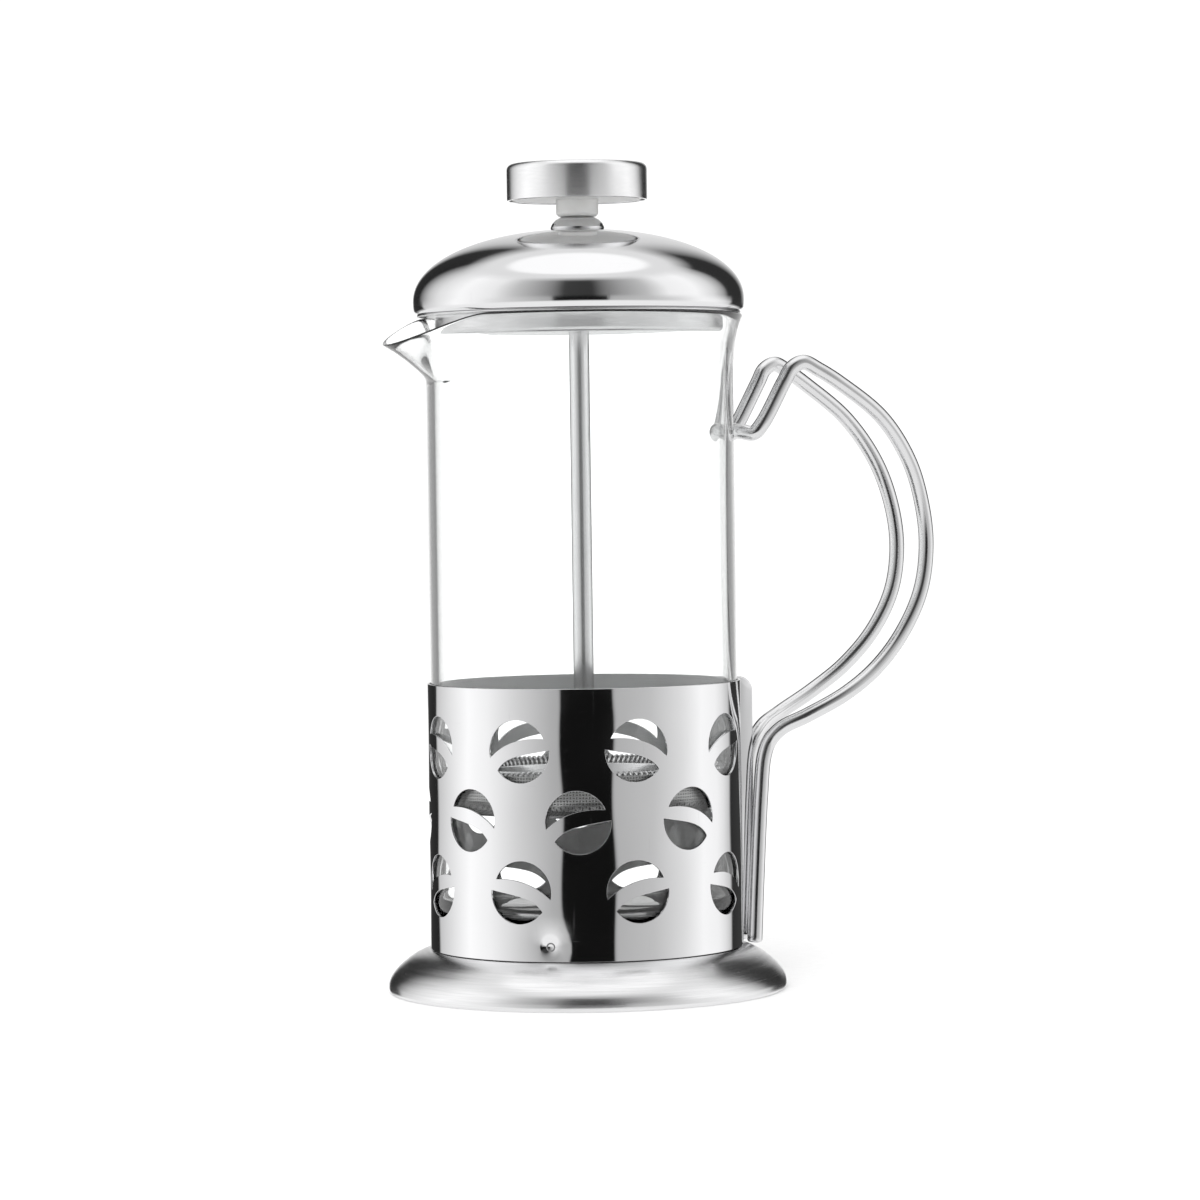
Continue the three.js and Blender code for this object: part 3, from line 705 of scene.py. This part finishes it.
def beaker_shape():
    inner_r, floor_z, corner = GLASS_R - GLASS_WALL, SEAT_Z + GLASS_FLOOR, GLASS_CORNER_R
    wall = (60, 100, SPOUT_ROOT_Z - 1)
    rim = [(GLASS_R, SPOUT_ROOT_Z), (35.2, 143.5), (35.7, 148), (36.4, 151), (37.1, 152.9), (37.28, 153.5),
           (36.9, 153.96), (36.3, 153.85), (35.2, 152), (34.1, 148.5), (33.5, 144), (inner_r, SPOUT_ROOT_Z)]
    outline = [(0, SEAT_Z), *arc(GLASS_R - corner, SEAT_Z + corner, corner, -90, 0, 10),
               *[(GLASS_R, z) for z in wall], *spline(rim, 5), *[(inner_r, z) for z in reversed(wall)],
               *arc(inner_r - corner, floor_z + corner, corner, 0, -90, 10), (0, floor_z)]
    vertices, faces = lathe(outline, 224)
    return pulled_spout(vertices), faces


def dome_line():
    """The dome's outside, from its hem over the widest point to the hole at the top."""
    bend = 2 / LID_CURVE_POWER
    last = math.acos((LID_FLAT_R / LID_R) ** (1 / bend))
    height = (LID_TOP_Z - LID_WIDEST_Z) / math.sin(last) ** bend
    curve = [(LID_R * math.cos(a) ** bend, LID_WIDEST_Z + height * math.sin(a) ** bend)
             for a in np.linspace(0, last, 40)]
    hem = [(35.9, 154.5), (36.7, 154.5), (37.25, 154.75), (37.6, 155.3), (37.72, 156.2)]
    return [*hem, *curve, (7.2, LID_TOP_Z), (LID_HOLE_R, LID_TOP_Z)]


def outward(angle, start_r, z):
    """Stands a shape made along Z on the pot at that angle, pointing out."""
    turn = Matrix.Rotation(math.radians(angle), 4, "Z") @ Matrix.Rotation(math.pi / 2, 4, "Y")
    return Matrix.Translation((0, 0, z * MM)) @ turn @ Matrix.Translation((0, 0, start_r * MM))


# Materials --------------------------------------------------------------------------------

mirror = polished_steel("mirror_sheet", waviness=0.0)
dome_steel = polished_steel("mirror_pressed", tint=0.86, rough=0.075, waviness=0.004, lines=0.002)
plate_steel = polished_steel("plate_polished", tint=0.8, rough=0.09, waviness=0.01, lines=0.004)
dull_steel = satin_steel(
    "rolled_dull", tint=0.96, low=0.38, high=0.5, depth=0.004, streak=1.0, metallic=0.12)
base_steel = satin_steel("spun_satin", tint=0.89, low=0.17, high=0.3, depth=0.012, streak=1.6)
knob_steel = satin_steel(
    "spun_satin_fine", tint=0.94, low=0.22, high=0.28, depth=0.003, streak=3.0, spread=0.03)
liner_steel = satin_steel("pressed_satin", tint=0.75, low=0.18, high=0.28, depth=0.008, streak=4.0)
# the rivets' dark tint is painted shade for the pit of each hollow rivet; their dull roughness is their own
pin_steel_painted_shade = satin_steel("pin_dull_painted_shade", tint=0.4, low=0.3, high=0.45, depth=0.01, streak=1.0)
wire_steel = drawn_steel("drawn_wire", "along")
rod_steel = drawn_steel("drawn_rod", tint=0.86, low=0.15, high=0.24)
weave = woven_steel("woven_cloth")
plastic = milky_plastic("white_moulded")
brass = turned_brass("brass_turned")
glass = clear_glass("clear_glass")

# Pieces -----------------------------------------------------------------------------------

def add_base():
    flank = [(BASE_R, 1.1), (45.44, 2.1), (45.0, 3.3), (44.1, 4.6), (43.1, 5.7), (42.1, 6.55),
             (40.9, 7.5), (39.5, 8.4), (37.9, 9.15), (36.4, 9.7)]
    rolled_r, drum_corner = 1.0, 1.5
    line = [(BASE_FOOT_R, 0), (BASE_R - rolled_r, 0),
            *arc(BASE_R - rolled_r, rolled_r, rolled_r, -80, -10, 5), *spline(flank, 4),
            (DRUM_R, SHELF_Z), (DRUM_R, 14.6),
            *arc(DRUM_R - drum_corner, SEAT_Z - drum_corner, drum_corner, 10, 90, 6), (0, SEAT_Z)]
    piece("base_look", lathe(sheet(line, BASE_SHEET), 192), "holder", base_steel,
          ["base_dish"])


def add_rivets():
    """Two hollow rivets."""
    outline = rounded([
        (0, 0), (1.1, 0), (1.1, 1.6, 0.2), (0.75, 1.6, 0.1), (0.5, 1.1, 0.1), (0, 1.0)], False)
    for i, angle in enumerate(RIVET_ANGLES, 1):
        piece(f"foot_rivet_look_{i}", lathe(outline, 32), "holder", pin_steel_painted_shade,
              [f"foot_rivet_{i}"], outward(angle, RIVET_START_R, RIVET_Z))


def add_handle():
    bevelled("handle_bracket", "bracket_look", 0.3, "holder", mirror)
    *wire, lengths = tube(wire_path(), WIRE_R, WIRE_SIDES, 4)
    made = piece("handle_wire_look", wire, "holder", wire_steel, ["handle_wire"])
    add_along(made, lengths, WIRE_SIDES)


def add_lid():
    piece("lid_dome_look", lathe(sheet(dome_line(), LID_SHEET), 192), "lid", dome_steel,
          ["lid_dome"])
    line = rounded([(LINER_HOLE_R, LINER_PLATE_Z), (LINER_R, LINER_PLATE_Z, 1.1),
                    (LINER_R, LINER_FLANGE_Z, 0.6), (LINER_FLANGE_R, LINER_FLANGE_Z)], False)
    piece("lid_liner_look", lathe(sheet(line, LID_SHEET), 192), "lid", liner_steel,
          ["lid_liner"])
    ferrule = rounded([
        (TUBE_BORE_R, TUBE_FOOT_Z), (TUBE_R, TUBE_FOOT_Z, 0.2), (TUBE_R, LID_TOP_Z), (5.5, LID_TOP_Z),
        (6.0, 173.4, 0.2), (FERRULE_R, 173.95, 0.4), (5.75, 174.85, 0.6), (4.9, 175.75, 0.8),
        (3.9, 176.3, 0.5), (3.3, 176.4, 0.2), (2.9, 176.4, 0.15), (2.9, 176), (TUBE_BORE_R, 176)])
    piece("lid_ferrule_look", lathe(ferrule, 96), "lid", plate_steel, ["lid_ferrule"])
    bush = rounded([(2.5, 151, 0.2), (3.2, 151, 0.2), (3.2, 175.75, 0.2), (2.5, 175.75, 0.2)])
    piece("lid_bush_look", lathe(bush, 64), "lid", plastic, ["lid_bush"])
    bevelled("lid_nut", "lid_nut_look", 0.35, "lid", rod_steel)


def add_plunger():
    rod = rounded([(0, ROD_BOTTOM_Z), (ROD_R, ROD_BOTTOM_Z, 0.35), (ROD_R, ROD_TOP_Z, 0.35),
                   (0, ROD_TOP_Z)], False)
    piece("plunger_rod_look", lathe(rod, 64), "plunger", rod_steel, ["plunger_rod"])
    collar = rounded([(2.4, COLLAR_Z), (4.2, COLLAR_Z, 0.15), (4.2, 45.5, 0.3), (3.3, 46.425, 0.3),
                      (2.4, 46.425)])
    piece("rod_collar_look", lathe(collar, 64), "plunger", base_steel, ["rod_collar"])


def add_knob():
    shoulder = KNOB_SHOULDER_R
    cap = [(15.55, KNOB_FOOT_Z), (15.95, 180.2), (KNOB_R, 180.6), (KNOB_R, 187.0),
           *arc(KNOB_R - shoulder, KNOB_TOP_Z - shoulder, shoulder, 5, 85, 8),
           (14.2, KNOB_TOP_Z), (0, KNOB_TOP_Z)]
    piece("knob_cap_look", lathe(sheet(cap, KNOB_SHEET), 144), "knob", knob_steel,
          ["knob_cap"])
    insert = rounded([
        (0, 185.5), (INSERT_CORE_R, 185.5), (INSERT_CORE_R, 181), (HUB_HOLE_R, 181),
        (HUB_HOLE_R, NECK_FOOT_Z), (4.3, NECK_FOOT_Z, 0.2), (NECK_R, 177.1, 0.4), (NECK_R, 180.3, 0.3),
        (INSERT_R, 180.3, 0.3), (INSERT_R, 186.8), (14.2, 187.5), (0, 187.5)], False)
    piece("knob_insert_look", lathe(insert, 96), "knob", plastic, ["knob_insert"])
    bevelled("knob_nut", "knob_nut_look", 0.25, "knob", brass)


def add_filter():
    line = rounded([(HUB_HOLE_R, SPRING_PLATE_Z), (23.5, SPRING_PLATE_Z, 1.5), (25.8, 44.7, 2.0),
                    (26.8, 49.9)], False)
    piece("spring_plate_look", lathe(sheet(line, 0.6), 144), "filter", plate_steel,
          ["spring_plate"])
    *coil, lengths = tube(coil_path(), COIL_WIRE_R, COIL_SIDES)
    made = piece("edge_spring_look", coil, "filter", wire_steel, ["edge_spring"])
    add_along(made, lengths, COIL_SIDES)
    line = rounded([(HUB_HOLE_R, MESH_Z), (29.8, MESH_Z, 1.2), (31.8, 43.1, 1.2), (CLOTH_R, 45.2, 1.5),
                    (CLOTH_R, 51)], False)
    piece("filter_mesh_look", lathe(sheet(line, 0.35), 192), "filter", weave,
          ["filter_mesh"])
    bevelled("cross_plate", "cross_plate_look", 0.15, "filter", plate_steel)
    bevelled("filter_nut", "filter_nut_look", 0.4, "filter", rod_steel)


add_base()
add_sleeve(mirror, dull_steel)
add_rivets()
add_handle()
piece("beaker_look", beaker_shape(), "beaker", glass, ["beaker"])
add_lid()
add_plunger()
add_knob()
add_filter()

# Studio -----------------------------------------------------------------------------------

CAMERA_TURN = math.radians(-22)  # round the pot, from straight in front of the handle's side
CAMERA_DISTANCE, CAMERA_Z, LENS = 1.0, 0.1205, 131.3
PITCH, YAW, ROLL = math.radians(1.806), math.radians(0.227), math.radians(-0.8)


def add_camera():
    data = bpy.data.cameras.new("camera")
    data.sensor_width, data.lens = 36, LENS
    data.clip_start, data.clip_end = 0.05, 50
    made = bpy.data.objects.new("camera", data)
    ahead = Vector((math.sin(YAW) * math.cos(PITCH), math.cos(YAW) * math.cos(PITCH), -math.sin(PITCH)))
    level = Vector((math.cos(YAW), -math.sin(YAW), 0))
    above = level.cross(ahead)
    right = level * math.cos(ROLL) + above * math.sin(ROLL)
    up = above * math.cos(ROLL) - level * math.sin(ROLL)
    pose = Matrix((right, up, -ahead)).transposed().to_4x4()
    pose.translation = (0, -CAMERA_DISTANCE, CAMERA_Z)
    place = Matrix.Translation((AXIS_X, 0, 0)) @ Matrix.Rotation(CAMERA_TURN, 4, "Z")
    made.matrix_world = place @ pose
    bpy.context.scene.collection.objects.link(made)
    bpy.context.scene.camera = made


# What the metal mirrors round the pot, from behind over the left side to the front and back
# over the right: (degrees from the camera's side, brightness). LOW is seen below level, HIGH above.
LOW_RING = [
    (-180, 1.0), (-171, 1.0), (-167, 0.05), (-156, 0.03), (-140.5, 0.02), (-137.5, 0.62), (-118, 0.84),
    (-95, 1.12), (-75, 1.0), (-48, 0.7), (-24, 0.47), (-18.5, 0.44), (-17, 0.006), (20, 0.006),
    (21.5, 0.48), (50, 0.58), (75, 0.8), (95, 1.06), (112, 1.0), (122, 0.84), (131.5, 0.6),
    (134.5, 0.03), (167, 0.05), (171, 1.0), (180, 1.0),
]
HIGH_RING = [
    (-180, 0.85), (-172, 0.6), (-166, 0.03), (-146, 0.02), (-141, 0.2), (-128, 0.6), (-115, 0.85),
    (-90, 1.1), (-62, 0.95), (-45, 0.6), (-28, 0.38), (-19, 0.25), (-10, 0.05), (10, 0.04),
    (20, 0.22), (30, 0.36), (48, 0.56), (66, 1.0), (90, 1.08), (108, 0.8), (122, 0.36),
    (128, 0.03), (155, 0.03), (162, 0.3), (171, 0.7), (180, 0.85),
]
OVERHEAD, ABOVE_RING, FLOOR_GLOW, BACKDROP = 1.14, 0.84, 0.95, 1.1
THROUGH_GLASS = 1.4  # the backdrop's strength seen through glass
MIRRORED_WHITE, SINGULAR_WHITE = 0.75, 0.1  # how much of the backdrop glass mirrors and bends in


def add_world():
    """A plain white backdrop, and the two rings for what metal mirrors. Heights are in degrees."""
    world = bpy.data.worlds.new("studio")
    bpy.context.scene.world = world
    world.use_nodes = True
    tree = world.node_tree
    tree.nodes.clear()
    away = node(tree, "TexCoord").outputs["Generated"]

    def along(way):
        return node(tree, "VectorMath", {0: away, 1: way}, operation="DOT_PRODUCT").outputs["Value"]

    right = along((math.cos(CAMERA_TURN), math.sin(CAMERA_TURN), 0))
    front = along((math.sin(CAMERA_TURN), -math.cos(CAMERA_TURN), 0))
    turn = maths(tree, "DIVIDE", maths(tree, "ARCTAN2", right, front), 2 * math.pi)
    rise = maths(tree, "DIVIDE", maths(tree, "ARCSINE", along((0, 0, 1))), math.pi)
    turn, rise = maths(tree, "ADD", turn, 0.5), maths(tree, "ADD", rise, 0.5)

    def ring(stops):
        return ramp(tree, turn, [(degrees / 360 + 0.5, value) for degrees, value in stops])

    def above(start, end, low, high):
        step = ramp(tree, rise, [(start / 180 + 0.5, 0), (end / 180 + 0.5, 1)])
        return mixed(tree, step, low, high)

    def grey(value):
        return (value, value, value, 1)

    seen = above(-3, 3, ring(LOW_RING), ring(HIGH_RING))
    seen = above(42, 54, seen, grey(ABOVE_RING))
    seen = above(61, 65, seen, grey(OVERHEAD))
    seen = above(-18, -8, grey(FLOOR_GLOW), seen)

    rays = node(tree, "LightPath").outputs
    bent, singular = rays["Is Transmission Ray"], rays["Is Singular Ray"]
    through = maths(tree, "MULTIPLY", bent, maths(tree, "LESS_THAN", rays["Glossy Depth"], 0.5))
    plain = maths(tree, "MAXIMUM", rays["Is Camera Ray"], rays["Is Diffuse Ray"])
    mirrored = maths(tree, "MULTIPLY", singular, maths(tree, "SUBTRACT", 1.0, bent))
    on_glass = maths(tree, "ADD", maths(tree, "MULTIPLY", mirrored, MIRRORED_WHITE),
                     maths(tree, "MULTIPLY", singular, SINGULAR_WHITE))
    white = maths(tree, "MAXIMUM", maths(tree, "MAXIMUM", plain, through), on_glass)
    background = node(tree, "Background", {
        "Color": mixed(tree, white, seen, grey(BACKDROP)),
        "Strength": between(tree, through, 1.0, THROUGH_GLASS)})
    output = node(tree, "OutputWorld", {"Surface": background.outputs[0]})
    output.is_active_output = True


def add_floor():
    """A round sheet of pale paper, in metres."""
    paper, tree, shader, position = material("floor_paper", Roughness=0.9, Specular_IOR_Level=0.0)
    fibres = noise(tree, position, 400, 3)
    drive(tree, shader, Base_Color=ramp(tree, fibres, [(0.3, 0.955), (0.7, 0.985)]),
          Normal=bump(tree, fibres, 0.01 * MM))
    radius, sides = 6, 64
    mesh = bpy.data.meshes.new("floor")
    angles = np.linspace(0, 2 * math.pi, sides, endpoint=False)
    corners = [(radius * math.cos(a), radius * math.sin(a), 0) for a in angles]
    mesh.from_pydata(corners, [], [range(sides)])
    mesh.materials.append(paper)
    floor = bpy.data.objects.new("floor", mesh)
    floor.visible_glossy = floor.visible_transmission = False
    bpy.context.scene.collection.objects.link(floor)


def add_softbox():
    data = bpy.data.lights.new("softbox", "AREA")
    data.shape, data.size, data.size_y, data.energy = "RECTANGLE", 1.0, 0.8, 9
    lamp = bpy.data.objects.new("softbox", data)
    lamp.location = (-0.9, -0.9, 1.3)
    lamp.rotation_euler = (Vector((0, 0, 0.1)) - lamp.location).to_track_quat("-Z", "Y").to_euler()
    lamp.visible_glossy = lamp.visible_transmission = False
    bpy.context.scene.collection.objects.link(lamp)


add_camera()
add_world()
add_floor()
add_softbox()
bpy.context.scene.view_settings.view_transform = "Standard"
